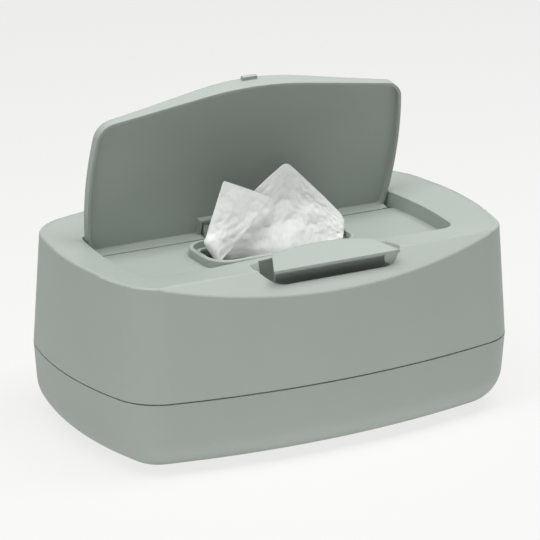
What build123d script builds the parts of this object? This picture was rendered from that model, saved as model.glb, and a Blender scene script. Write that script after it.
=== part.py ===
"""Countertop wipes dispenser: tray, cover, hinged lid, rocking button and the wipes inside.

Millimetres, +Z up. The front faces -Y, X runs along the length, and the origin lies on the
table under the middle of the box. The lid is drawn as it stands when it has sprung open.
"""
from build123d import *
from math import atan2, cos, degrees, radians, sin, tan
import os

os.makedirs("parts", exist_ok=True)

# ---------- driving dimensions of the box ----------
LENGTH = 250.0                  # end to end at the seam
DEPTH = 166.8                   # front to back at the seam
FOOT_PROUD = 0.8                # feet below the tray
SEAM_Z = 41.0                   # top of the tray's outer wall
SEAM_GAP = 0.6                  # dark line between tray and housing
RIM_Z = 103.0                   # outer crease of the top
FRONT_BOW = 17.4                # sagitta of each wall in plan
BACK_BOW = 26.0
SIDE_BOW = 19.5
FRONT_CORNER_R = 27.4
BACK_CORNER_R = 37.5
DRAFT = 4.0                     # degrees, on every outer wall
WALL = 2.4
TRAY_EDGE_R = 22.0
TRAY_FLOOR = 3.0
CREASE_R = 1.4

# ---------- top of the housing ----------
CHAMFER_IN = 16.5               # front slope: its top edge behind the seam
CHAMFER_END_IN = 28.0           # and its ends inside the seam
CHAMFER_Y = CHAMFER_IN - DEPTH / 2
CHAMFER_HALF = LENGTH / 2 - CHAMFER_END_IN
DECK_Z = 90.4
DECK_T = 2.4
RECESS_EDGE_Z = 98.4            # edge of the recess at its sides and back
CROWN_RISE = 6.6                # rise of its front edge in the middle
CROWN_PAST = 2.2                # the crown ends this far outside the lid's front corner
FRONT_CORNER_IN = 5.8           # the recess's edges end this far inside the lid's corners
BACK_CORNER_IN = 5.2
DISH_IN = 2.0                   # the dish begins this far inside the crease
DISH_STEP = 0.08                # and this far below it
TURN_SHORT = 1.3                # degrees that the crease's side stops short of the slope's end
TURN_SHORT_IN = 0.5             # and the recess's side of its corners
TRACE = 600                     # points that an outline is searched at
PAST = 20.0                     # cutting bodies run this far past what they cut
CROWN_DEPTH = 10.0              # the crown's filling reaches this far down
LID_GAP = 1.5                   # lid to recess wall
TRENCH_FRONT_IN = 6.4           # the rear wall swings in a trench from here to the back
TRENCH_FLOOR_Z = 86.4

# ---------- lid, drawn closed round its pivot ----------
PIVOT_IN = 50.0                 # hinge in front of the seam's back
PIVOT_Y = DEPTH / 2 - PIVOT_IN
PIVOT_Z = 96.2
OPEN_ANGLE = 77.4
LID_T = 1.7
LID_BACK_T = 2.0                # depth of the longer rear wall
LID_FACE = 2.26                 # outer face above the pivot
LID_BACK = 5.9                  # rear wall behind the pivot
LID_LIP = -2.6                  # lip of the side and front walls
LID_REAR_LIP = -7.0
LID_BACK_HALF = 91.2            # half widths at the back, middle and front corners
LID_MID_HALF = 95.0
LID_FRONT_HALF = 91.8
LID_CORNER_IN = 28.5            # the lid's front corners behind the slope's top edge
LID_MID_SHIFT = 1.5             # its widest place behind the middle of its side
LID_CORNER_Y = CHAMFER_Y - PIVOT_Y + LID_CORNER_IN
LID_MID_Y = LID_CORNER_Y / 2 + LID_MID_SHIFT
LID_V_SLOPE = 0.15
LID_APEX_R = 210.0
LID_CORNER_R = 11.0
RECESS_CORNER_R = 7.0
LID_BACK_R = 4.0
LID_CROWN = 6.0                 # rise of the outer face at the apex
NOTCH_HALF = 24.0
NOTCH_FRONT = -2.8
NOTCH_LIP = -2.4                # the walls beside the notch reach down to here
TAB_HALF = 4.4
TAB_OUT = 1.9
TAB_T = 2.4
TAB_DROP = 0.7                  # top of the tab below the lid's crown

# ---------- hinge ----------
PIN_R = 1.0
PIN_RUNNING = 0.06              # radial play of a turning fit
KNUCKLE_R = 2.4
KNUCKLE_IN = 12.0
KNUCKLE_OUT = 22.8
HINGE_PIN_HALF = 25.6
SPRING_WIRE_R = 0.35
SPRING_COIL_R = 1.75
SPRING_PITCH = 1.3
SPRING_HALF = 9.1

# ---------- button and its pocket, placed from the slope's top edge ----------
POCKET_BACK_Y = CHAMFER_Y + 14.1
POCKET_BACK_HALF = 35.0
POCKET_FRONT_Y = CHAMFER_Y - 5.8
POCKET_FRONT_HALF = 40.5
POCKET_FLOOR_Z = 80.0
POCKET_WALL = 2.0
POCKET_CORNER_R = 9.0
FLARE_Z = 93.5                  # the pocket's mouth widens above this height
FLARE_ANGLE = 30.0
FLARE_BACK_Y = CHAMFER_Y + 6.9
LIP_NOTCH_HALF = 6.0            # the lid's tab and the hook meet in this notch
LIP_NOTCH_Z = 100.8
LIP_NOTCH_LENGTH = 6.0
LIP_NOTCH_IN = 1.0              # its middle lies this far behind the pocket's back wall
BUTTON_FRONT_Y = CHAMFER_Y - 8.4
BUTTON_FRONT_HALF = 37.7
BUTTON_FRONT_Z = 104.4
BUTTON_BACK_Y = CHAMFER_Y + 8.2
BUTTON_BACK_HALF = 29.8
BUTTON_BACK_Z = 107.3
BUTTON_ARCH_Y = CHAMFER_Y + 11.3
BUTTON_ARCH_Z = 109.0
BUTTON_T = 1.6
BUTTON_PIVOT_Y = CHAMFER_Y + 9.4
BUTTON_PIVOT_Z = 88.0
BUTTON_PIN_R = 1.5
BUTTON_PIN_HALF = 38.6
BUTTON_EAR_X = 24.0
BUTTON_EAR_T = 3.0
EAR_R = 3.6
WEB_FRONT_Y = CHAMFER_Y + 0.1   # web that joins each ear to the button
WEB_BACK_Y = CHAMFER_Y + 7.3
WEB_Z = 86.0
SKIRT_HALF = 33.0               # apron that hides the ears, pin and spring
SKIRT_FRONT_Y = CHAMFER_Y - 0.7
SKIRT_T = 1.2
SKIRT_Z = 83.0
RETURN_COIL_R = 2.6
RETURN_WIRE_R = 0.4
RETURN_PITCH = 2.2
RETURN_Y = CHAMFER_Y + 4.3
RETURN_TOP_Z = 91.0
POST_R = 1.5
POST_H = 4.0
RIB_HALF = 4.0                  # rib under the button, which carries the latch
RIB_FRONT_Y = CHAMFER_Y + 0.1
RIB_BACK_Y = CHAMFER_Y + 9.4
LATCH_T = 1.6
LATCH_FOOT_Z = 93.0
HOOK_Z = 104.1                  # underside of the hook, just above the lid's tab
HOOK_TIP_Y = CHAMFER_Y + 16.6
HOOK_HALF = 3.0
PEG_R = 1.4
PEG_LENGTH = 4.0
PEG_Z = 98.0

# ---------- collar round the slot ----------
COLLAR_HALF = 45.6
COLLAR_FRONT_Y = -25.3
COLLAR_BACK_Y = 15.0
COLLAR_R = 13.5
COLLAR_TOP_Z = 95.0
COLLAR_RING = 2.4
COLLAR_EDGE_R = 0.9
SLOT_HALF = 37.5
SLOT_FRONT_Y = -14.5
SLOT_BACK_Y = 12.0
SLOT_R = 6.0
LEDGE_Z = 91.0
LEDGE_T = 1.6
SPIGOT_IN = 1.6                 # part of the collar that drops through the deck
SPIGOT_Z = 86.6
SPIGOT_GAP = 0.15

# ---------- joint between tray and housing ----------
TONGUE_IN = 3.1                 # tongue stands inside the housing's wall
TONGUE_T = 2.0
NECK_Z = 34.0                   # the tray's wall thickens above this height
SEAL_IN = 3.3
SEAL_T = 1.7
TONGUE_TOP_Z = 46.0
SEAL_H = 2.4
SEAL_CLEAR = 0.3
SEAL_RIB_H = 1.8
SEAL_RIB_IN = 5.4
FOOT_R = 8.0
FOOT_DEPTH = 1.2
FOOT_END_IN = 45.0              # feet inside the seam
FOOT_SIDE_IN = 45.4
FOOT_X = LENGTH / 2 - FOOT_END_IN
FOOT_Y = DEPTH / 2 - FOOT_SIDE_IN

# ---------- what it holds ----------
STACK_X = 172.0
STACK_Y = 90.0
STACK_H = 50.0
STACK_R = 8.0
TAIL_BASE_HALF = 60.0           # the next sheet, drawn up from the pile to the slot
TAIL_TOP_HALF = 26.0
TAIL_T = 1.6
WIPE_BASE_Z = 88.4
SOFT_GAP = 0.3                  # between a soft piece and its neighbours
WIPE_Y = -1.25
WIPE_T = 1.2
SHEET_BEHIND = [                # outline of the sheet that stands in the slot
    (-26, WIPE_BASE_Z), (26, WIPE_BASE_Z), (43, 91), (43.5, 99), (36, 112), (23, 125),
    (10, 138), (-8, 125), (-20, 93),
]
SHEET_FOLDED = [                # and of its corner, folded over in front
    (-10, WIPE_BASE_Z + 2), (0, 120), (-28, 133), (-32, 120), (-38, 108), (-40.5, 100),
    (-36, 94), (-30, 91),
]


def box_outline(inset):
    """Plan of the outer wall, moved inwards by inset: four bowed sides, rounded corners."""
    half_x = LENGTH / 2 - inset
    half_y = DEPTH / 2 - inset
    side_r = (half_y ** 2 + SIDE_BOW ** 2) / (2 * SIDE_BOW)
    with BuildSketch(Plane.XY, mode=Mode.PRIVATE) as plan:
        with BuildLine():
            front_r = ((LENGTH / 2) ** 2 + FRONT_BOW ** 2) / (2 * FRONT_BOW) - inset
            back_r = ((LENGTH / 2) ** 2 + BACK_BOW ** 2) / (2 * BACK_BOW) - inset
            reach = LENGTH / 2 + PAST
            front_end = -half_y + front_r - (front_r ** 2 - reach ** 2) ** 0.5
            back_end = half_y - back_r + (back_r ** 2 - reach ** 2) ** 0.5
            ThreePointArc((-reach, front_end), (0, -half_y), (reach, front_end))
            Line((reach, front_end), (reach, back_end))
            ThreePointArc((reach, back_end), (0, half_y), (-reach, back_end))
            Line((-reach, back_end), (-reach, front_end))
        make_face()
        with Locations((half_x - side_r, 0)):
            Circle(side_r, mode=Mode.INTERSECT)
        with Locations((side_r - half_x, 0)):
            Circle(side_r, mode=Mode.INTERSECT)
        corners = plan.vertices().sort_by(Axis.Y)
        fillet(corners[:2], FRONT_CORNER_R - inset)
        corners = plan.vertices().sort_by(Axis.Y)
        fillet(corners[-2:], BACK_CORNER_R - inset)
    return plan.sketch


def lid_outline(grow, corner_r=LID_CORNER_R):
    """Plan of the closed lid round its pivot, grown by grow all round."""
    with BuildSketch(Plane.XY, mode=Mode.PRIVATE) as plan:
        apex = LID_CORNER_Y - LID_V_SLOPE * LID_FRONT_HALF
        with BuildLine():
            ThreePointArc(
                (LID_BACK_HALF, LID_BACK), (LID_MID_HALF, LID_MID_Y), (LID_FRONT_HALF, LID_CORNER_Y)
            )
            Polyline(
                (LID_FRONT_HALF, LID_CORNER_Y), (0, apex), (-LID_FRONT_HALF, LID_CORNER_Y)
            )
            ThreePointArc(
                (-LID_FRONT_HALF, LID_CORNER_Y), (-LID_MID_HALF, LID_MID_Y), (-LID_BACK_HALF, LID_BACK)
            )
            Line((-LID_BACK_HALF, LID_BACK), (LID_BACK_HALF, LID_BACK))
        make_face()
        fillet(plan.vertices().sort_by(Axis.Y)[:1], LID_APEX_R)
        fillet(plan.vertices().group_by(Axis.Y)[-1], LID_BACK_R)
        sharp = [v for v in plan.vertices() if abs(v.Y - LID_CORNER_Y) < 0.01]
        fillet(sharp, corner_r)
        if grow:
            offset(amount=grow, kind=Kind.ARC)
    return plan.sketch


def crown_z(x):
    """Height of the recess's front edge, which follows the lid's crown."""
    share = min(1, abs(x) / (LID_FRONT_HALF + CROWN_PAST))
    return RECESS_EDGE_Z + CROWN_RISE * cos(radians(90 * share)) ** 2


def recess_front_y(x):
    """Front edge of the recess in plan: a shallow V with a rounded apex."""
    slope = abs(LID_V_SLOPE)
    sharp = PIVOT_Y + LID_CORNER_Y - slope * LID_FRONT_HALF
    root = (1 + slope ** 2) ** 0.5
    if abs(x) > LID_APEX_R * slope / root:
        return sharp + slope * abs(x)
    return sharp + LID_APEX_R * root - (LID_APEX_R ** 2 - x ** 2) ** 0.5


def stretch(outline, start, end, count):
    """Points along an outline between two bearings in degrees, from start to end."""
    wire = outline.wire()
    places = [wire.position_at(i / TRACE) for i in range(TRACE)]
    kept = [(degrees(atan2(p.Y, p.X)), p.X, p.Y) for p in places]
    kept = sorted(p for p in kept if start < p[0] < end)
    return [kept[round(i * (len(kept) - 1) / (count - 1))][1:] for i in range(count)]


def dish_faces():
    """Ruled faces that fall from the crease round the top to the edge of the recess."""
    front_y = CHAMFER_Y + DISH_IN
    back_y = PIVOT_Y + LID_BACK
    recess = lid_outline(0, RECESS_CORNER_R).moved(Location((0, PIVOT_Y, 0)))
    crease = box_outline((RIM_Z - SEAM_Z) * tan(radians(DRAFT)) + DISH_IN)
    front_half = LID_FRONT_HALF - FRONT_CORNER_IN
    back_half = LID_BACK_HALF - BACK_CORNER_IN
    side_turn = degrees(atan2(-front_y, CHAMFER_HALF)) - TURN_SHORT
    front_turn = degrees(atan2(-recess_front_y(front_half), front_half)) - TURN_SHORT_IN
    back_turn = degrees(atan2(back_y, back_half)) - TURN_SHORT_IN
    across = [front_half * (i / 12 - 1) for i in range(25)]
    front_in = [(x, recess_front_y(x), crown_z(x)) for x in across]
    front_out = [(x, front_y, RIM_Z - DISH_STEP) for x in (-CHAMFER_HALF, CHAMFER_HALF)]
    turn = stretch(recess, -front_turn, back_turn, 15)
    side_in = [front_in[-1]]
    side_in += [(x, y, crown_z(x) if y < 0 else RECESS_EDGE_Z) for x, y in turn]
    side_in += [(back_half, back_y, RECESS_EDGE_Z)]
    turn = stretch(crease, 1 - side_turn, side_turn, 16)
    side_out = [front_out[-1]] + [(x, y, RIM_Z - DISH_STEP) for x, y in turn]
    corner = side_out[-1]
    back_out = [corner]
    turn = stretch(crease, side_turn + 2, 178 - side_turn, 21)
    back_out += [(x, y, RIM_Z - DISH_STEP) for x, y in turn]
    back_out += [(-corner[0], *corner[1:])]
    back_in = [(back_half, back_y, RECESS_EDGE_Z), (-back_half, back_y, RECESS_EDGE_Z)]
    front = Face.make_surface_from_curves(Edge.make_spline(front_in), Edge.make_line(*front_out))
    side = Face.make_surface_from_curves(Edge.make_spline(side_in), Edge.make_spline(side_out))
    back = Face.make_surface_from_curves(Edge.make_line(*back_in), Edge.make_spline(back_out))
    return [front, side, side.mirror(Plane.YZ), back]


def slab(plan, bottom, top, taper=0):
    """Solid of a plan outline between two heights."""
    with BuildPart(mode=Mode.PRIVATE) as solid:
        with BuildSketch(Plane.XY.offset(bottom)):
            add(plan)
        extrude(amount=top - bottom, taper=taper)
    return solid.part


def pocket_outline(grow):
    """Plan of the button's pocket."""
    with BuildSketch(Plane.XY, mode=Mode.PRIVATE) as plan:
        with BuildLine():
            Polyline(
                (-POCKET_BACK_HALF, POCKET_BACK_Y), (POCKET_BACK_HALF, POCKET_BACK_Y),
                (POCKET_FRONT_HALF, POCKET_FRONT_Y), (-POCKET_FRONT_HALF, POCKET_FRONT_Y),
                close=True,
            )
        make_face()
        fillet(plan.vertices().group_by(Axis.Y)[0], POCKET_CORNER_R)
        if grow:
            offset(amount=grow, kind=Kind.ARC)
    return plan.sketch


def collar_outline(inset):
    """Plan of the collar round the slot."""
    middle = (COLLAR_FRONT_Y + COLLAR_BACK_Y) / 2
    with BuildSketch(Plane.XY, mode=Mode.PRIVATE) as plan:
        with Locations((0, middle)):
            RectangleRounded(
                2 * (COLLAR_HALF - inset), COLLAR_BACK_Y - COLLAR_FRONT_Y - 2 * inset,
                COLLAR_R - inset,
            )
    return plan.sketch


def ring(outer, inner, bottom, top):
    """Ring between two plan outlines."""
    return slab(outer, bottom, top) - slab(inner, bottom - 1, top + 1)


def coil(start, axis, radius, wire_r, pitch, length):
    """Round wire wound along an axis as one unbroken tube."""
    path = Helix(pitch, length, radius, center=start, direction=axis)
    places = [path @ (i / TRACE) for i in range(TRACE + 1)]
    half_turn = round(TRACE * pitch / length / 2)
    gap = min(
        (places[i] - places[j]).length
        for i in range(TRACE + 1) for j in range(i + half_turn, min(i + 3 * half_turn, TRACE + 1))
    )
    print("least gap between the coil's turns", round(gap - 2 * wire_r, 2), "mm")
    with BuildPart(mode=Mode.PRIVATE) as wound:
        with BuildSketch(Plane(origin=path @ 0, z_dir=path % 0)):
            Circle(wire_r)
        sweep(path=path, is_frenet=True)
    return wound.part


# ---------- tray ----------
bottom_z = FOOT_PROUD
with BuildPart() as tray_hollow:
    with BuildSketch(Plane.XY.offset(SEAM_Z)):
        add(box_outline(WALL))
    extrude(amount=bottom_z + TRAY_FLOOR - SEAM_Z, taper=DRAFT)
    fillet(tray_hollow.edges().group_by(Axis.Z)[0], TRAY_EDGE_R - TRAY_FLOOR)
    split(bisect_by=Plane.XY.offset(NECK_Z), keep=Keep.BOTTOM)

with BuildPart() as tray:
    with BuildSketch(Plane.XY.offset(SEAM_Z)):
        add(box_outline(0))
    extrude(amount=bottom_z - SEAM_Z, taper=DRAFT)
    fillet(tray.edges().group_by(Axis.Z)[0], TRAY_EDGE_R)
    add(tray_hollow.part, mode=Mode.SUBTRACT)
    add(slab(box_outline(TONGUE_IN), SEAM_Z, TONGUE_TOP_Z))
    add(slab(box_outline(TONGUE_IN + TONGUE_T), NECK_Z - 1, TONGUE_TOP_Z + 1), mode=Mode.SUBTRACT)
    with BuildSketch(Plane.XY.offset(bottom_z)):
        with GridLocations(2 * FOOT_X, 2 * FOOT_Y, 2, 2):
            Circle(FOOT_R + SPIGOT_GAP)
    extrude(amount=FOOT_DEPTH, mode=Mode.SUBTRACT)
tray.part.label = "tray"

feet = {
    "foot_front_left": (-FOOT_X, -FOOT_Y), "foot_front_right": (FOOT_X, -FOOT_Y),
    "foot_rear_left": (-FOOT_X, FOOT_Y), "foot_rear_right": (FOOT_X, FOOT_Y),
}

# ---------- seal between tray and housing ----------
with BuildPart() as seam_seal:
    add(ring(box_outline(SEAL_IN), box_outline(SEAL_IN + SEAL_T),
             TONGUE_TOP_Z, TONGUE_TOP_Z + SEAL_H))
seam_seal.part.label = "seam_seal"

# ---------- housing ----------
dish = dish_faces()
recess_plan = lid_outline(LID_GAP, RECESS_CORNER_R).moved(Location((0, PIVOT_Y, 0)))
recess_wall = lid_outline(LID_GAP + WALL, RECESS_CORNER_R).moved(Location((0, PIVOT_Y, 0)))
slope = Plane(origin=(0, CHAMFER_Y, RIM_Z), z_dir=(0, -1, 1))
housing_z = SEAM_Z + SEAM_GAP
above = RIM_Z + 4


def part_of(plan, line_y, lost_side):
    """A plan outline without what lies before (Align.MAX) or behind (Align.MIN) a line."""
    with BuildSketch(Plane.XY, mode=Mode.PRIVATE) as rest:
        add(plan)
        with Locations((0, line_y)):
            Rectangle(LENGTH, DEPTH, align=(Align.CENTER, lost_side), mode=Mode.SUBTRACT)
    return rest.sketch


with BuildPart() as hollow:
    with BuildSketch(Plane.XY.offset(housing_z - 1)):
        add(box_outline(WALL))
    extrude(amount=RIM_Z - WALL - housing_z + 1, taper=DRAFT)
    split(bisect_by=slope.offset(-WALL), keep=Keep.BOTTOM)
    for face in dish:
        extrude(face.moved(Location((0, 0, -WALL))), amount=PAST, dir=(0, 0, 1), mode=Mode.SUBTRACT)
    add(slab(recess_wall, DECK_Z - DECK_T, above), mode=Mode.SUBTRACT)
    add(slab(part_of(recess_wall, PIVOT_Y - TRENCH_FRONT_IN - DECK_T, Align.MAX),
             TRENCH_FLOOR_Z - DECK_T, above), mode=Mode.SUBTRACT)
    add(slab(pocket_outline(POCKET_WALL), POCKET_FLOOR_Z - POCKET_WALL, above),
        mode=Mode.SUBTRACT)
    add(slab(part_of(pocket_outline(POCKET_WALL), FLARE_BACK_Y, Align.MIN),
             FLARE_Z - POCKET_WALL, above, -FLARE_ANGLE), mode=Mode.SUBTRACT)
    rib_z = TONGUE_TOP_Z + SEAL_H + SEAL_CLEAR
    add(ring(box_outline(0), box_outline(SEAL_RIB_IN), rib_z, rib_z + SEAL_RIB_H),
        mode=Mode.SUBTRACT)

with BuildPart() as housing:
    with BuildSketch(Plane.XY.offset(housing_z)):
        add(box_outline(SEAM_GAP * tan(radians(DRAFT))))
    extrude(amount=RIM_Z - housing_z, taper=DRAFT)
    split(bisect_by=slope, keep=Keep.BOTTOM)
    fillet(housing.edges().filter_by_position(Axis.Z, RIM_Z - 15, above), CREASE_R)
    for face in dish:
        extrude(face, amount=PAST, dir=(0, 0, 1), mode=Mode.SUBTRACT)
    extrude(dish[0], amount=CROWN_DEPTH, dir=(0, 0, -1))
    add(slab(recess_plan, DECK_Z, above), mode=Mode.SUBTRACT)
    add(slab(part_of(recess_plan, PIVOT_Y - TRENCH_FRONT_IN, Align.MAX), TRENCH_FLOOR_Z, above),
        mode=Mode.SUBTRACT)
    add(slab(pocket_outline(0), POCKET_FLOOR_Z, above), mode=Mode.SUBTRACT)
    add(slab(part_of(pocket_outline(0), FLARE_BACK_Y, Align.MIN), FLARE_Z, above, -FLARE_ANGLE),
        mode=Mode.SUBTRACT)
    add(hollow.part, mode=Mode.SUBTRACT)
    # slot in the deck for the collar
    add(slab(collar_outline(SPIGOT_IN - SPIGOT_GAP), DECK_Z - 10, DECK_Z + 1), mode=Mode.SUBTRACT)
    # notch where the lid's tab meets the hook
    with Locations((0, POCKET_BACK_Y + LIP_NOTCH_IN, LIP_NOTCH_Z)):
        Box(2 * LIP_NOTCH_HALF, LIP_NOTCH_LENGTH, PAST, mode=Mode.SUBTRACT,
            align=(Align.CENTER, Align.CENTER, Align.MIN))
    # knuckles for the hinge pin
    for side in (-1, 1):
        with BuildSketch(Plane.YZ.offset(side * KNUCKLE_IN)):
            with Locations((PIVOT_Y, PIVOT_Z)):
                Circle(KNUCKLE_R)
                Rectangle(2 * KNUCKLE_R, PIVOT_Z - TRENCH_FLOOR_Z + 0.5,
                          align=(Align.CENTER, Align.MAX))
        extrude(amount=side * (KNUCKLE_OUT - KNUCKLE_IN))
    with BuildSketch(Plane.YZ):
        with Locations((PIVOT_Y, PIVOT_Z)):
            Circle(PIN_R)
    extrude(amount=KNUCKLE_OUT + 1, both=True, mode=Mode.SUBTRACT)
    # seats for the button's pin and a post for its spring
    with BuildSketch(Plane.YZ):
        with Locations((BUTTON_PIVOT_Y, BUTTON_PIVOT_Z)):
            Circle(BUTTON_PIN_R)
    extrude(amount=BUTTON_PIN_HALF, both=True, mode=Mode.SUBTRACT)
    with BuildSketch(Plane.XY.offset(POCKET_FLOOR_Z)):
        with Locations((0, RETURN_Y)):
            Circle(POST_R)
    extrude(amount=POST_H)
housing.part.label = "housing"

# ---------- collar ----------
with BuildPart() as collar:
    add(slab(collar_outline(0), DECK_Z, COLLAR_TOP_Z))
    fillet(collar.edges().group_by(Axis.Z)[-1], COLLAR_EDGE_R)
    add(slab(collar_outline(SPIGOT_IN), SPIGOT_Z, DECK_Z + 1))
    add(slab(collar_outline(COLLAR_RING), LEDGE_Z, above), mode=Mode.SUBTRACT)
    add(slab(collar_outline(COLLAR_RING), SPIGOT_Z - 1, LEDGE_Z - LEDGE_T), mode=Mode.SUBTRACT)
    with BuildSketch(Plane.XY.offset(SPIGOT_Z)):
        with Locations((0, (SLOT_FRONT_Y + SLOT_BACK_Y) / 2)):
            RectangleRounded(2 * SLOT_HALF, SLOT_BACK_Y - SLOT_FRONT_Y, SLOT_R)
    extrude(amount=COLLAR_TOP_Z - SPIGOT_Z, mode=Mode.SUBTRACT)
collar.part.label = "collar"

# ---------- lid, drawn closed round its pivot and set down open ----------
lid_plane = Plane(
    origin=(0, PIVOT_Y, PIVOT_Z), x_dir=(1, 0, 0),
    z_dir=(0, sin(radians(OPEN_ANGLE)), cos(radians(OPEN_ANGLE))),
)
apex_y = LID_CORNER_Y - LID_V_SLOPE * LID_FRONT_HALF
crown_top = LID_FACE + LID_CROWN
tab_y = recess_front_y(0) - PIVOT_Y


def crown_over(drop):
    """Everything above the lid's face: flat at the hinge, bell shaped at the front."""
    reach = LID_MID_HALF + 5
    steps = [i / 8 - 1 for i in range(17)]
    with BuildPart(mode=Mode.PRIVATE) as over:
        for y, rise in ((LID_BACK + 1, 0), (apex_y, LID_CROWN)):
            with BuildSketch(Plane(origin=(0, y, 0), x_dir=(1, 0, 0), z_dir=(0, -1, 0))):
                with BuildLine():
                    Spline(*[
                        (reach * s, LID_FACE - drop + rise * cos(radians(90 * s)) ** 2)
                        for s in steps
                    ])
                    Polyline(
                        (reach, LID_FACE - drop), (reach, crown_top + 5),
                        (-reach, crown_top + 5), (-reach, LID_FACE - drop),
                    )
                make_face()
        loft(ruled=True)
    return over.part


with BuildPart() as lid_hollow:
    add(slab(lid_outline(-LID_T), LID_REAR_LIP - 1, crown_top))
    add(crown_over(LID_T), mode=Mode.SUBTRACT)
    with Locations((0, LID_BACK, NOTCH_LIP)):
        Box(2 * (NOTCH_HALF + LID_T), 2 * (LID_BACK - NOTCH_FRONT + LID_T), PAST,
            mode=Mode.SUBTRACT, align=(Align.CENTER, Align.CENTER, Align.MIN))

with BuildPart() as lid_closed:
    add(slab(lid_outline(0), LID_REAR_LIP, crown_top))
    add(crown_over(0), mode=Mode.SUBTRACT)
    with Locations((0, LID_BACK - LID_BACK_T, LID_LIP)):
        Box(LENGTH, DEPTH, PAST, mode=Mode.SUBTRACT, align=(Align.CENTER, Align.MAX, Align.MAX))
    add(lid_hollow.part, mode=Mode.SUBTRACT)
    with Locations((0, LID_BACK)):
        Box(2 * NOTCH_HALF, 2 * (LID_BACK - NOTCH_FRONT), 2 * PAST, mode=Mode.SUBTRACT)
    with Locations((0, tab_y + LID_T / 2, crown_top - TAB_DROP)):
        Box(2 * TAB_HALF, TAB_OUT + LID_T / 2, TAB_T,
            align=(Align.CENTER, Align.MAX, Align.MAX))
    with BuildSketch(Plane.YZ):
        Circle(PIN_R + PIN_RUNNING)
    extrude(amount=NOTCH_HALF + LID_T + 1, both=True, mode=Mode.SUBTRACT)

with BuildPart() as lid:
    add(lid_plane.location * lid_closed.part)
lid.part.label = "lid"

# ---------- hinge pin and the spring wound on it ----------
with BuildPart() as hinge_pin:
    with BuildSketch(Plane.YZ):
        with Locations((PIVOT_Y, PIVOT_Z)):
            Circle(PIN_R)
    extrude(amount=HINGE_PIN_HALF, both=True)
hinge_pin.part.label = "hinge_pin"

with BuildPart() as lid_spring:
    add(coil((-SPRING_HALF, PIVOT_Y, PIVOT_Z), (1, 0, 0), SPRING_COIL_R, SPRING_WIRE_R,
             SPRING_PITCH, 2 * SPRING_HALF))
lid_spring.part.label = "lid_spring"

# ---------- button ----------
def button_face(drop):
    """Crowned face of the button: straight in front, arched at the back."""
    front = Edge.make_line(
        (-BUTTON_FRONT_HALF, BUTTON_FRONT_Y, BUTTON_FRONT_Z - drop),
        (BUTTON_FRONT_HALF, BUTTON_FRONT_Y, BUTTON_FRONT_Z - drop),
    )
    back = Edge.make_three_point_arc(
        (-BUTTON_BACK_HALF, BUTTON_BACK_Y, BUTTON_BACK_Z - drop),
        (0, BUTTON_ARCH_Y, BUTTON_ARCH_Z - drop),
        (BUTTON_BACK_HALF, BUTTON_BACK_Y, BUTTON_BACK_Z - drop),
    )
    return Face.make_surface_from_curves(front, back)


with BuildPart() as button:
    # ears that carry the pin, the rib between them and the apron in front
    for side in (-1, 1):
        with BuildSketch(Plane.YZ.offset(side * BUTTON_EAR_X)):
            with Locations((BUTTON_PIVOT_Y, BUTTON_PIVOT_Z)):
                Circle(EAR_R)
            with Locations((WEB_BACK_Y, WEB_Z)):
                Rectangle(WEB_BACK_Y - WEB_FRONT_Y, BUTTON_ARCH_Z - WEB_Z,
                          align=(Align.MAX, Align.MIN))
        extrude(amount=side * BUTTON_EAR_T)
    with BuildSketch(Plane.XY.offset(RETURN_TOP_Z)):
        with Locations((0, (RIB_FRONT_Y + RIB_BACK_Y) / 2)):
            Rectangle(2 * RIB_HALF, RIB_BACK_Y - RIB_FRONT_Y)
    extrude(amount=BUTTON_ARCH_Z - RETURN_TOP_Z)
    with Locations((0, SKIRT_FRONT_Y, SKIRT_Z)):
        Box(2 * SKIRT_HALF, SKIRT_T, BUTTON_ARCH_Z - SKIRT_Z,
            align=(Align.CENTER, Align.MIN, Align.MIN))
    extrude(button_face(BUTTON_T / 2), amount=PAST, dir=(0, 0, 1), mode=Mode.SUBTRACT)
    extrude(button_face(0), amount=BUTTON_T, dir=(0, 0, -1))
    with BuildSketch(Plane.YZ):
        with Locations((BUTTON_PIVOT_Y, BUTTON_PIVOT_Z)):
            Circle(BUTTON_PIN_R + PIN_RUNNING)
    extrude(amount=BUTTON_PIN_HALF, both=True, mode=Mode.SUBTRACT)
    with BuildSketch(Plane.XZ.offset(-RIB_BACK_Y)):
        with Locations((0, PEG_Z)):
            Circle(PEG_R)
    extrude(amount=PEG_LENGTH, mode=Mode.SUBTRACT)
button.part.label = "button"

# ---------- latch ----------
with BuildPart() as latch:
    plate_y = RIB_BACK_Y + LATCH_T
    with BuildSketch(Plane.YZ):
        with BuildLine():
            Polyline(
                (RIB_BACK_Y, LATCH_FOOT_Z), (plate_y, LATCH_FOOT_Z), (plate_y, HOOK_Z),
                (HOOK_TIP_Y, HOOK_Z), (HOOK_TIP_Y, HOOK_Z + LATCH_T / 2),
                (plate_y, HOOK_Z + 2 * LATCH_T), (RIB_BACK_Y, HOOK_Z + 2 * LATCH_T), close=True,
            )
        make_face()
    extrude(amount=HOOK_HALF, both=True)
    with BuildSketch(Plane.XZ.offset(-RIB_BACK_Y)):
        with Locations((0, PEG_Z)):
            Circle(PEG_R)
    extrude(amount=PEG_LENGTH)
latch.part.label = "latch"

# ---------- button's pin and spring ----------
with BuildPart() as button_pin:
    with BuildSketch(Plane.YZ):
        with Locations((BUTTON_PIVOT_Y, BUTTON_PIVOT_Z)):
            Circle(BUTTON_PIN_R)
    extrude(amount=BUTTON_PIN_HALF, both=True)
button_pin.part.label = "button_pin"

with BuildPart() as button_spring:
    add(coil((0, RETURN_Y, POCKET_FLOOR_Z + RETURN_WIRE_R + SOFT_GAP), (0, 0, 1), RETURN_COIL_R,
             RETURN_WIRE_R, RETURN_PITCH,
             RETURN_TOP_Z - POCKET_FLOOR_Z - 2 * (RETURN_WIRE_R + SOFT_GAP)))
button_spring.part.label = "button_spring"

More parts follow.
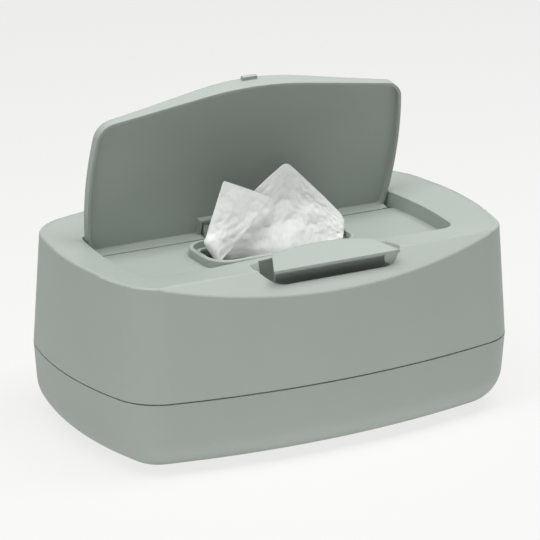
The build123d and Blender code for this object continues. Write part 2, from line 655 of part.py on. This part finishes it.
# ---------- wipes ----------
stack_z = FOOT_PROUD + TRAY_FLOOR + SOFT_GAP
with BuildPart() as wipes_stack:
    with BuildSketch(Plane.XY.offset(stack_z)):
        RectangleRounded(STACK_X, STACK_Y, STACK_R)
    extrude(amount=STACK_H)
    with BuildSketch(Plane.XZ.offset(-WIPE_Y)):
        with BuildLine():
            Polyline(
                (-TAIL_BASE_HALF, stack_z + STACK_H - 1), (TAIL_BASE_HALF, stack_z + STACK_H - 1),
                (TAIL_TOP_HALF, WIPE_BASE_Z - SOFT_GAP), (-TAIL_TOP_HALF, WIPE_BASE_Z - SOFT_GAP),
                close=True,
            )
        make_face()
    extrude(amount=TAIL_T / 2, both=True)
wipes_stack.part.label = "wipes_stack"

with BuildPart() as wipe:
    for outline, thickness in ((SHEET_BEHIND, -WIPE_T), (SHEET_FOLDED, WIPE_T)):
        with BuildSketch(Plane.XZ.offset(-WIPE_Y)):
            with BuildLine():
                Polyline(*outline, close=True)
            make_face()
        extrude(amount=thickness)
wipe.part.label = "wipe"

# ---------- write the pieces ----------
pieces = [tray, seam_seal, wipes_stack, housing, collar, hinge_pin, lid_spring, button_pin,
          button_spring, wipe, lid, button, latch]
for piece in pieces:
    export_step(piece.part, f"parts/{piece.part.label}.step")
for name, (x, y) in feet.items():
    with BuildPart() as foot:
        with BuildSketch(Plane.XY):
            with Locations((x, y)):
                Circle(FOOT_R)
        extrude(amount=FOOT_PROUD + FOOT_DEPTH)
    foot.part.label = name
    export_step(foot.part, f"parts/{name}.step")
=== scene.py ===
"""Countertop wipes dispenser, dressed for the camera: moulded shells, steel wire and wet wipes."""
import math

import bpy
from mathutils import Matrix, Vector, noise


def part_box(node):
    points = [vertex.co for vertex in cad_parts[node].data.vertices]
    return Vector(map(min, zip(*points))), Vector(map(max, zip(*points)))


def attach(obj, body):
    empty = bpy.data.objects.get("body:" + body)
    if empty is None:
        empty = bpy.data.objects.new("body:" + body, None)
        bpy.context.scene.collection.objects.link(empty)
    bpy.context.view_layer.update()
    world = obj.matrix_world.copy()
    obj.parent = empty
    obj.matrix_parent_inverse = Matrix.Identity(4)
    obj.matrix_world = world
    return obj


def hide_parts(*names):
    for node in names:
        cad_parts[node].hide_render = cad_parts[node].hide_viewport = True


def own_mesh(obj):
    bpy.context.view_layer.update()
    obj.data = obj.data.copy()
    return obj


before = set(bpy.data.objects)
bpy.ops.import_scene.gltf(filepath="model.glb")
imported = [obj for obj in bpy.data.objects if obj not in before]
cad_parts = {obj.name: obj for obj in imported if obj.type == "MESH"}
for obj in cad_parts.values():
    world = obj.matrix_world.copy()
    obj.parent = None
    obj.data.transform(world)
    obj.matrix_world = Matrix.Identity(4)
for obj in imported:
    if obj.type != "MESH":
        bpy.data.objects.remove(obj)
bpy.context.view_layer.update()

# ---------- sizes, in metres unless the name ends in MM ----------
MM = 0.001
WIPE_LOW, WIPE_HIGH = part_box("wipe")
STACK_LOW, STACK_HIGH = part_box("wipes_stack")
SHEET_T = 0.4 * MM
SHEET_WIDE = 0.110              # flat size of what stands out of the slot
SHEET_TALL = 0.036
DOT_MM = 2.6                    # spacing of the embossed dots


def linear(code):
    """The linear colour of an sRGB hex code, as RGBA."""
    channels = [int(code[i:i + 2], 16) / 255 for i in (1, 3, 5)]
    return [c / 12.92 if c <= 0.04045 else ((c + 0.055) / 1.055) ** 2.4 for c in channels] + [1]


def put(tree, kind, links=(), **settings):
    """Adds a node of a kind, sets its inputs or properties, and links (output, input) pairs."""
    node = tree.nodes.new(kind)
    for name, value in settings.items():
        label = name.replace("_", " ")
        found = [s for s in node.inputs if s.name.lower() == label.lower()]
        if found:
            found[0].default_value = value
        else:
            setattr(node, name, value)
    for source, target in links:
        tree.links.new(source, node.inputs[target])
    return node


def new_material(name):
    """An empty node material with its output and a Principled shader joined."""
    made = bpy.data.materials.new(name)
    made.use_nodes = True
    tree = made.node_tree
    tree.nodes.clear()
    out = put(tree, "ShaderNodeOutputMaterial")
    skin = put(tree, "ShaderNodeBsdfPrincipled")
    tree.links.new(skin.outputs["BSDF"], out.inputs["Surface"])
    return made, tree, skin


def deselect():
    """Nothing selected, so that an operator acts only on what it makes."""
    bpy.ops.object.select_all(action="DESELECT")


# ---------- materials ----------
def spark_eroded_plastic(name, code, shade_code, rough, grain_mm=0.55, edge_mm=0.9):
    """ABS moulded in a spark-eroded steel tool: an even, dull skin with a fine pebble.

    The pebble is about 0.1 mm on the real one and is drawn coarser so that it shows.
    A broad, faint mottle stands for flow and handling, and edges catch a soft line of light.
    """
    made, tree, skin = new_material(name)
    place = put(tree, "ShaderNodeTexCoord")
    here = place.outputs["Object"]
    mottle = put(tree, "ShaderNodeTexNoise", [(here, "Vector")], scale=1 / (38 * MM), detail=3.0)
    tint = put(tree, "ShaderNodeMix", data_type="RGBA")
    tint.inputs[6].default_value = linear(code)
    tint.inputs[7].default_value = linear(shade_code)
    tree.links.new(mottle.outputs["Fac"], tint.inputs[0])
    tree.links.new(tint.outputs[2], skin.inputs["Base Color"])
    pebble = put(tree, "ShaderNodeTexNoise", [(here, "Vector")], scale=1 / (grain_mm * MM),
                 detail=2.0, roughness=0.6)
    spread = put(tree, "ShaderNodeMapRange", [(pebble.outputs["Fac"], "Value")],
                 to_min=rough - 0.05, to_max=rough + 0.06)
    tree.links.new(spread.outputs["Result"], skin.inputs["Roughness"])
    edge = put(tree, "ShaderNodeBevel", samples=6, radius=edge_mm * MM)
    grain = put(tree, "ShaderNodeBump", [(pebble.outputs["Fac"], "Height"),
                                         (edge.outputs["Normal"], "Normal")],
                strength=0.22, distance=0.05 * MM)
    tree.links.new(grain.outputs["Normal"], skin.inputs["Normal"])
    skin.inputs["IOR"].default_value = 1.53
    skin.inputs["Specular IOR Level"].default_value = 0.4
    return made


def drawn_steel(name):
    """Stainless steel rod and wire drawn through a die: fine lines along its length."""
    made, tree, skin = new_material(name)
    place = put(tree, "ShaderNodeTexCoord")
    drawn = put(tree, "ShaderNodeMapping", [(place.outputs["Object"], "Vector")],
                scale=(0.04, 1.0, 1.0))
    lines = put(tree, "ShaderNodeTexNoise", [(drawn.outputs["Vector"], "Vector")],
                scale=1 / (0.3 * MM), detail=2.0)
    spread = put(tree, "ShaderNodeMapRange", [(lines.outputs["Fac"], "Value")],
                 to_min=0.24, to_max=0.42)
    tree.links.new(spread.outputs["Result"], skin.inputs["Roughness"])
    skin.inputs["Base Color"].default_value = linear("#B9BBBC")
    skin.inputs["Metallic"].default_value = 1.0
    return made


def soft_rubber(name, code):
    """Thermoplastic elastomer, moulded: dull, slightly dusty, with a faint orange peel."""
    made, tree, skin = new_material(name)
    place = put(tree, "ShaderNodeTexCoord")
    peel = put(tree, "ShaderNodeTexNoise", [(place.outputs["Object"], "Vector")],
               scale=1 / (1.1 * MM), detail=3.0)
    dust = put(tree, "ShaderNodeMix", data_type="RGBA")
    dust.inputs[6].default_value = linear(code)
    dust.inputs[7].default_value = linear("#6E726C")
    spread = put(tree, "ShaderNodeMapRange", [(peel.outputs["Fac"], "Value")],
                 to_min=0.0, to_max=0.35)
    tree.links.new(spread.outputs["Result"], dust.inputs[0])
    tree.links.new(dust.outputs[2], skin.inputs["Base Color"])
    bump = put(tree, "ShaderNodeBump", [(peel.outputs["Fac"], "Height")],
               strength=0.3, distance=0.06 * MM)
    tree.links.new(bump.outputs["Normal"], skin.inputs["Normal"])
    skin.inputs["Roughness"].default_value = 0.78
    return made


def embossed_nonwoven(name):
    """Spunlace viscose wipe, wet and faintly embossed with dots: soft white, light passes."""
    made, tree, skin = new_material(name)
    place = put(tree, "ShaderNodeTexCoord")
    flat = put(tree, "ShaderNodeMapping", [(place.outputs["UV"], "Vector")],
               scale=(SHEET_WIDE / MM, SHEET_TALL / MM, 1.0))
    dots = put(tree, "ShaderNodeTexVoronoi", [(flat.outputs["Vector"], "Vector")],
               scale=1 / DOT_MM, randomness=0.6, voronoi_dimensions="2D")
    fibre = put(tree, "ShaderNodeTexNoise", [(flat.outputs["Vector"], "Vector")],
                scale=1.4, detail=4.0)
    pit = put(tree, "ShaderNodeMapRange", [(dots.outputs["Distance"], "Value")],
              from_min=0.1, from_max=0.55)
    height = put(tree, "ShaderNodeMath", [(pit.outputs["Result"], 0), (fibre.outputs["Fac"], 1)],
                 operation="ADD")
    bump = put(tree, "ShaderNodeBump", [(height.outputs["Value"], "Height")],
               strength=0.12, distance=0.25 * MM)
    tint = put(tree, "ShaderNodeMix", data_type="RGBA")
    tint.inputs[6].default_value = linear("#F1F3F0")
    tint.inputs[7].default_value = linear("#F5F6F4")
    tree.links.new(pit.outputs["Result"], tint.inputs[0])
    tree.links.new(tint.outputs[2], skin.inputs["Base Color"])
    tree.links.new(bump.outputs["Normal"], skin.inputs["Normal"])
    skin.inputs["Roughness"].default_value = 0.82
    skin.inputs["Subsurface Weight"].default_value = 0.15
    skin.inputs["Subsurface Radius"].default_value = (2 * MM, 2 * MM, 2 * MM)
    return made


shell_skin = spark_eroded_plastic("abs_spark_eroded_sage", "#A6AEA7", "#A1A9A2", 0.52)
button_skin = spark_eroded_plastic("abs_spark_eroded_sage_button", "#AAB2AB", "#A6AEA7", 0.48)
inner_skin = spark_eroded_plastic("pom_moulded_latch", "#9AA29B", "#949C95", 0.5)
steel_skin = drawn_steel("stainless_drawn_rod_and_wire")
seal_skin = soft_rubber("tpe_moulded_seal", "#4B504A")
pad_skin = soft_rubber("tpe_moulded_foot", "#3E423D")

NODE_SKINS = {
    shell_skin: ("tray", "housing", "lid", "collar"),
    button_skin: ("button",),
    inner_skin: ("latch",),
    steel_skin: ("hinge_pin", "lid_spring", "button_pin", "button_spring"),
    seal_skin: ("seam_seal",),
    pad_skin: ("foot_front_left", "foot_front_right", "foot_rear_left", "foot_rear_right"),
}


def paint(piece, skin):
    """The piece's only material."""
    piece.data.materials.clear()
    piece.data.materials.append(skin)


for skin, names in NODE_SKINS.items():
    for name in names:
        paint(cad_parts[name], skin)

# ---------- the wipe that stands out of the slot ----------
# Ribs of the sheet from its right edge, behind the loose corner to the fold at the left and
# forward again. Each rib runs from the slot to the upper edge, in millimetres.
RIBS = [
    [(36.5, -12.6, 88.6), (40.2, -11.6, 92.3), (42.5, -8.4, 96.0), (44.2, -6.0, 100.2)],
    [(35.0, -12.8, 88.6), (39.0, -11.8, 92.5), (41.5, -8.4, 98.5), (42.2, -5.0, 104.2)],
    [(28.5, -13.0, 88.6), (30.5, -12.2, 92.5), (32.3, -8.6, 101.0), (32.2, -6.0, 109.0),
     (31.8, -4.5, 115.6)],
    [(19.0, -13.0, 88.6), (20.0, -12.2, 92.5), (22.0, -8.2, 102.0), (22.3, -5.2, 113.0),
     (20.6, -4.5, 127.1)],
    [(9.0, -13.0, 88.6), (9.0, -12.2, 92.5), (11.2, -7.6, 104.0), (11.6, -4.4, 116.0),
     (10.2, -4.5, 137.3)],
    [(6.0, -13.0, 88.6), (6.0, -12.2, 92.5), (7.6, -7.4, 104.0), (8.2, -4.2, 116.0),
     (7.2, -4.2, 137.3)],
    [(-1.0, -11.6, 88.6), (-2.0, -10.6, 92.5), (-2.0, -5.6, 103.0), (-2.0, -3.2, 114.0),
     (-0.7, -2.5, 130.9)],
    [(-10.0, -9.0, 88.6), (-11.0, -7.6, 92.5), (-11.0, -2.0, 101.0), (-11.0, -1.0, 110.0),
     (-8.6, -1.5, 124.2)],
    [(-18.0, -6.0, 88.6), (-19.0, -4.6, 92.5), (-19.0, 0.5, 100.0), (-18.5, 0.6, 108.0),
     (-15.0, -0.5, 119.0)],
    [(-26.0, -5.6, 88.6), (-27.0, -4.2, 92.5), (-27.0, 1.0, 100.0), (-26.0, 0.8, 107.0),
     (-21.5, -0.5, 117.0)],
    [(-33.5, -4.5, 88.6), (-36.0, -3.5, 94.0), (-36.5, -2.0, 103.0), (-28.5, -2.5, 121.0)],
    [(-35.5, -8.5, 88.6), (-39.0, -7.6, 94.7), (-43.2, -6.8, 101.4), (-40.1, -6.2, 106.0),
     (-35.3, -6.0, 120.1), (-30.4, -6.5, 134.4)],
    [(-36.0, -12.2, 88.6), (-39.0, -11.6, 94.7), (-41.5, -10.0, 101.4), (-38.4, -8.8, 105.9),
     (-33.3, -7.4, 119.6), (-27.9, -6.4, 133.2)],
    [(-36.0, -13.0, 88.6), (-38.0, -12.6, 94.0), (-36.2, -11.0, 102.8), (-28.0, -9.2, 116.3),
     (-20.3, -7.6, 129.8)],
    [(-35.8, -13.2, 88.6), (-36.5, -13.0, 94.0), (-31.8, -11.8, 101.9), (-21.5, -10.0, 112.8),
     (-11.1, -8.4, 125.6)],
    [(-35.5, -13.4, 88.6), (-35.0, -13.2, 92.5), (-28.5, -12.9, 96.6), (-22.6, -12.2, 102.7),
     (-15.8, -11.2, 109.1), (-9.6, -10.2, 114.5), (-2.3, -9.0, 121.3)],
]
SPACED_AT = 0.7                 # share of the way up at which the gaps between ribs are taken
SHEET_COLUMNS = 150
SHEET_ROWS = 50
CREASE_MM = 1.3                 # depth of the broad creases
RIPPLE_MM = 0.35                # and of the small ones
SLOT_SLACK = 0.15               # share of its sway that the sheet already has at the slot
EASE_ROUNDS = 9                 # rounds of smoothing
WRINKLE = 0.3 * MM              # height of the fine wrinkles, pressed in after the smoothing


def lengths(points):
    """Distance along a polyline to each of its points, from 0 to 1."""
    run = [0.0]
    for near, far in zip(points, points[1:]):
        run.append(run[-1] + (far - near).length)
    return [r / run[-1] for r in run]


def along(points, marks, t):
    """The point at t on a polyline whose points lie at the marks."""
    i = max(k for k in range(len(marks) - 1) if marks[k] <= t or k == 0)
    return points[i].lerp(points[i + 1], (t - marks[i]) / (marks[i + 1] - marks[i]))


def folds(u, v, across, up, slant, seed):
    """Smooth noise from -1 to 1 over a sheet, finer across or up it as those numbers grow."""
    return noise.noise(Vector((u * across + v * slant, v * up, seed)))


def thicken(sheet):
    """Gives a sheet its thickness, half to each side."""
    thick = sheet.modifiers.new("thickness", "SOLIDIFY")
    thick.thickness = SHEET_T
    thick.offset = 0
    bpy.ops.object.modifier_apply(modifier=thick.name)


def standing_wipe():
    """One sheet, gathered in the slot, folded over at the left, with two raised corners."""
    deselect()
    bpy.ops.mesh.primitive_grid_add(x_subdivisions=SHEET_COLUMNS, y_subdivisions=SHEET_ROWS,
                                    size=2, calc_uvs=True)
    made = bpy.context.object
    made.name = "standing_wipe"
    ribs = [[Vector(p) for p in rib] for rib in RIBS]
    rib_marks = [lengths(rib) for rib in ribs]
    middles = [along(rib, marks, SPACED_AT) for rib, marks in zip(ribs, rib_marks)]
    ways = lengths(middles)
    flat_places = [((p.co.x + 1) / 2, (p.co.y + 1) / 2) for p in made.data.vertices]
    for point, (u, v) in zip(made.data.vertices, flat_places):
        spots = [along(rib, marks, v) for rib, marks in zip(ribs, rib_marks)]
        place = along(spots, ways, u)
        crease = folds(u, v, across=11, up=3, slant=2, seed=3)
        fine = folds(u, v, across=34, up=12, slant=0, seed=7)
        slack = math.sin(math.pi * min(1, SLOT_SLACK + v))
        place.y += slack * (CREASE_MM * crease + RIPPLE_MM * fine)
        point.co = place * MM
    ease = made.modifiers.new("ease", "SMOOTH")
    ease.factor = 0.5
    ease.iterations = EASE_ROUNDS
    bpy.ops.object.modifier_apply(modifier=ease.name)
    for point, (u, v) in zip(made.data.vertices, flat_places):
        ridge = 1 - 2 * abs(folds(u, v, across=26, up=8, slant=5, seed=11))
        point.co.y += WRINKLE * max(0, ridge) ** 3 * math.sin(math.pi * v) ** 0.5
    thicken(made)
    bpy.ops.object.shade_smooth_by_angle(angle=math.radians(50))
    return made


wipe_skin = embossed_nonwoven("spunlace_embossed_wet")
wipe = standing_wipe()
paint(wipe, wipe_skin)
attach(wipe, "cover")
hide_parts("wipe")
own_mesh(wipe)


# ---------- the folded pile and the next sheet ----------
PILE_LAYERS = 14
PILE_TALL = 50 * MM
PILE_IN = 4 * MM                # how much narrower the pile is than its solid, each way
PILE_SLIP = 0.5 * MM            # each fold lies up to this far out of line
PILE_ROUND = 1.4 * MM           # bevel along the folds
LAYER_FILL = 0.98               # share of its height that a layer fills
TAIL_HALF = 58 * MM             # half the next sheet's width at the pile
TAIL_TAPER = 32 * MM            # it loses this much of that on its way to the slot
TAIL_RIPPLE = 1.6 * MM
TAIL_WAVES = 7                  # radians of ripple from its middle to its edge
TAIL_TWIST = 2                  # radians by which the ripple shifts on its way up
TAIL_RISE = 1 * MM              # it starts this far above the pile
TAIL_COLUMNS = 60
TAIL_ROWS = 24


def wipes_pile():
    """Folded wipes lying on each other, each a slab with bevelled edges, a little out of line."""
    deselect()
    step = PILE_TALL / PILE_LAYERS
    layers = []
    for i in range(PILE_LAYERS):
        bpy.ops.mesh.primitive_cube_add(size=1)
        slab = bpy.context.object
        shift = PILE_SLIP * noise.noise(Vector((i * 0.7, 2.0, 0.0)))
        for point in slab.data.vertices:
            point.co.x *= STACK_HIGH[0] - STACK_LOW[0] - PILE_IN
            point.co.y *= STACK_HIGH[1] - STACK_LOW[1] - PILE_IN
            point.co.x += shift
            point.co.y -= shift
            point.co.z = STACK_LOW[2] + (i + 0.5) * step + point.co.z * step * LAYER_FILL
        round_off = slab.modifiers.new("round", "BEVEL")
        round_off.width = PILE_ROUND
        round_off.segments = 3
        bpy.ops.object.modifier_apply(modifier=round_off.name)
        layers.append(slab)
    deselect()
    for slab in layers:
        slab.select_set(True)
    bpy.context.view_layer.objects.active = layers[0]
    bpy.ops.object.join()
    pile = bpy.context.object
    pile.name = "wipes_pile"
    bpy.ops.object.shade_smooth_by_angle(angle=math.radians(40))
    return pile


def next_sheet():
    """The sheet below, drawn up from the pile and gathered under the slot."""
    deselect()
    bpy.ops.mesh.primitive_grid_add(x_subdivisions=TAIL_COLUMNS, y_subdivisions=TAIL_ROWS,
                                    size=2, calc_uvs=True)
    made = bpy.context.object
    made.name = "next_sheet"
    base = STACK_LOW[2] + PILE_TALL + TAIL_RISE
    middle = (WIPE_LOW[1] + WIPE_HIGH[1]) / 2
    for point in made.data.vertices:
        u, v = point.co.x, (point.co.y + 1) / 2
        half = TAIL_HALF - TAIL_TAPER * v
        ripple = TAIL_RIPPLE * math.sin(TAIL_WAVES * u + TAIL_TWIST * v) * (1 - 0.5 * v)
        point.co = Vector((u * half, middle + ripple, base + v * (STACK_HIGH[2] - base)))
    thicken(made)
    bpy.ops.object.shade_smooth()
    return made


pile = wipes_pile()
tail = next_sheet()
pile_skin = embossed_nonwoven("spunlace_folded_wet")
for soft in (pile, tail):
    paint(soft, pile_skin)
    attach(soft, "base")
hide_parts("wipes_stack")

# ---------- floor, light and camera ----------
WHITE = [1, 1, 1, 1]


def seen_directly(tree):
    """1 where the camera, a glossy or a transmitted ray looks, else 0."""
    path = put(tree, "ShaderNodeLightPath")
    first = put(tree, "ShaderNodeMath", [(path.outputs["Is Camera Ray"], 0),
                                         (path.outputs["Is Glossy Ray"], 1)], operation="MAXIMUM")
    return put(tree, "ShaderNodeMath", [(first.outputs["Value"], 0),
                                        (path.outputs["Is Transmission Ray"], 1)],
               operation="MAXIMUM").outputs["Value"]


FLOOR_SIDE = 12
FLOOR_LIFT = 0.8                # share of plain white in the floor where it is seen
FLOOR_PAINTED_GLOW = 0.29               # painted light: the glow that the floor gives the object from below
GLOW_REACH = 0.6                # radius of that light
AMBIENT = 0.15                  # strength of the surroundings


def floor_skin():
    """Matt white paper sweep: round the object it glows with painted light, towards it alone,
    and where it is seen it is lifted to white and keeps a faint shadow."""
    made = bpy.data.materials.new("paper_sweep_matt_white")
    made.use_nodes = True
    tree = made.node_tree
    tree.nodes.clear()
    out = put(tree, "ShaderNodeOutputMaterial")
    paper = put(tree, "ShaderNodeBsdfDiffuse", color=linear("#E2E2E0"))
    place = put(tree, "ShaderNodeTexCoord")
    near = put(tree, "ShaderNodeMapping", [(place.outputs["Object"], "Vector")],
               scale=(1 / GLOW_REACH, 1 / GLOW_REACH, 1.0))
    # Painted light: near the object the floor glows and lights it from below, where no camera,
    # glossy or transmitted ray looks.
    fade = put(tree, "ShaderNodeTexGradient", [(near.outputs["Vector"], "Vector")],
               gradient_type="SPHERICAL")
    unseen = put(tree, "ShaderNodeMapRange", [(seen_directly(tree), "Value")],
                 to_min=FLOOR_PAINTED_GLOW, to_max=0.0)
    power = put(tree, "ShaderNodeMath", [(fade.outputs["Fac"], 0), (unseen.outputs["Result"], 1)],
                operation="MULTIPLY")
    glow = put(tree, "ShaderNodeEmission", [(power.outputs["Value"], "Strength")], color=WHITE)
    lit = put(tree, "ShaderNodeAddShader", [(paper.outputs["BSDF"], 0),
                                            (glow.outputs["Emission"], 1)])
    lift = put(tree, "ShaderNodeEmission", color=linear("#FBFBFA"))
    share = put(tree, "ShaderNodeMapRange", [(seen_directly(tree), "Value")], to_max=FLOOR_LIFT)
    both = put(tree, "ShaderNodeMixShader", [(share.outputs["Result"], 0),
                                             (lit.outputs["Shader"], 1),
                                             (lift.outputs["Emission"], 2)])
    tree.links.new(both.outputs["Shader"], out.inputs["Surface"])
    return made


deselect()
bpy.ops.mesh.primitive_plane_add(size=FLOOR_SIDE, location=(0, 0, 0))
floor = bpy.context.object
floor.name = "floor"
paint(floor, floor_skin())


def world_light():
    """Even pale surroundings, white where the camera looks past the floor."""
    world = bpy.data.worlds.new("pale_room")
    bpy.context.scene.world = world
    world.use_nodes = True
    tree = world.node_tree
    tree.nodes.clear()
    out = put(tree, "ShaderNodeOutputWorld")
    room = put(tree, "ShaderNodeBackground", color=WHITE, strength=AMBIENT)
    sweep = put(tree, "ShaderNodeBackground", color=WHITE, strength=1.0)
    pick = put(tree, "ShaderNodeMixShader", [(seen_directly(tree), 0),
                                             (room.outputs["Background"], 1),
                                             (sweep.outputs["Background"], 2)])
    tree.links.new(pick.outputs["Shader"], out.inputs["Surface"])


def softbox(name, place, target, wide, deep, watts):
    """A diffused rectangular lamp aimed at a point."""
    deselect()
    bpy.ops.object.light_add(type="AREA", location=place)
    lamp = bpy.context.object
    lamp.name = name
    lamp.data.shape = "RECTANGLE"
    lamp.data.size = wide
    lamp.data.size_y = deep
    lamp.data.energy = watts
    lamp.rotation_euler = (Vector(target) - Vector(place)).to_track_quat("-Z", "Y").to_euler()
    return lamp


def flag_off(lamp, piece):
    """Keeps a lamp off one piece, as a black card on a stand does in a studio."""
    shaded = bpy.data.collections.new("flagged_" + piece.name)
    shaded.objects.link(piece)
    shaded.collection_objects[0].light_linking.link_state = "EXCLUDE"
    lamp.light_linking.receiver_collection = shaded


world_light()
softbox("overhead", (0, -0.16, 1.05), (0, 0, 0.1), wide=1.5, deep=0.45, watts=14.0)
softbox("left_high", (-1.0, -0.35, 0.95), (0, 0, 0.1), wide=0.7, deep=0.7, watts=1.5)
front_low = softbox("front_low", (-0.7, -1.6, 0.3), (0, 0, 0.06), wide=1.2, deep=0.5, watts=3.1)
flag_off(front_low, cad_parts["button"])

IMAGE = 540                     # pixels along each side of the photograph
SENSOR = 36                     # width in mm
CAMERA_AT = Vector((-815.45, -1486.06, 650.92)) * MM
LOOKS_AT = Vector((0, -0.63, 77.52)) * MM
FOCAL_PX = 3305.35
SHIFT_X_PX = 1.53
SHIFT_Y_PX = -0.82
NEAR_CLIP = 0.05

deselect()
bpy.ops.object.camera_add(location=CAMERA_AT)
camera = bpy.context.object
camera.rotation_euler = (LOOKS_AT - CAMERA_AT).to_track_quat("-Z", "Y").to_euler()
camera.data.sensor_width = SENSOR
camera.data.lens = SENSOR * FOCAL_PX / IMAGE
camera.data.shift_x = SHIFT_X_PX / IMAGE
camera.data.shift_y = SHIFT_Y_PX / IMAGE
camera.data.clip_start = NEAR_CLIP
bpy.context.scene.camera = camera
bpy.context.scene.view_settings.view_transform = "Standard"
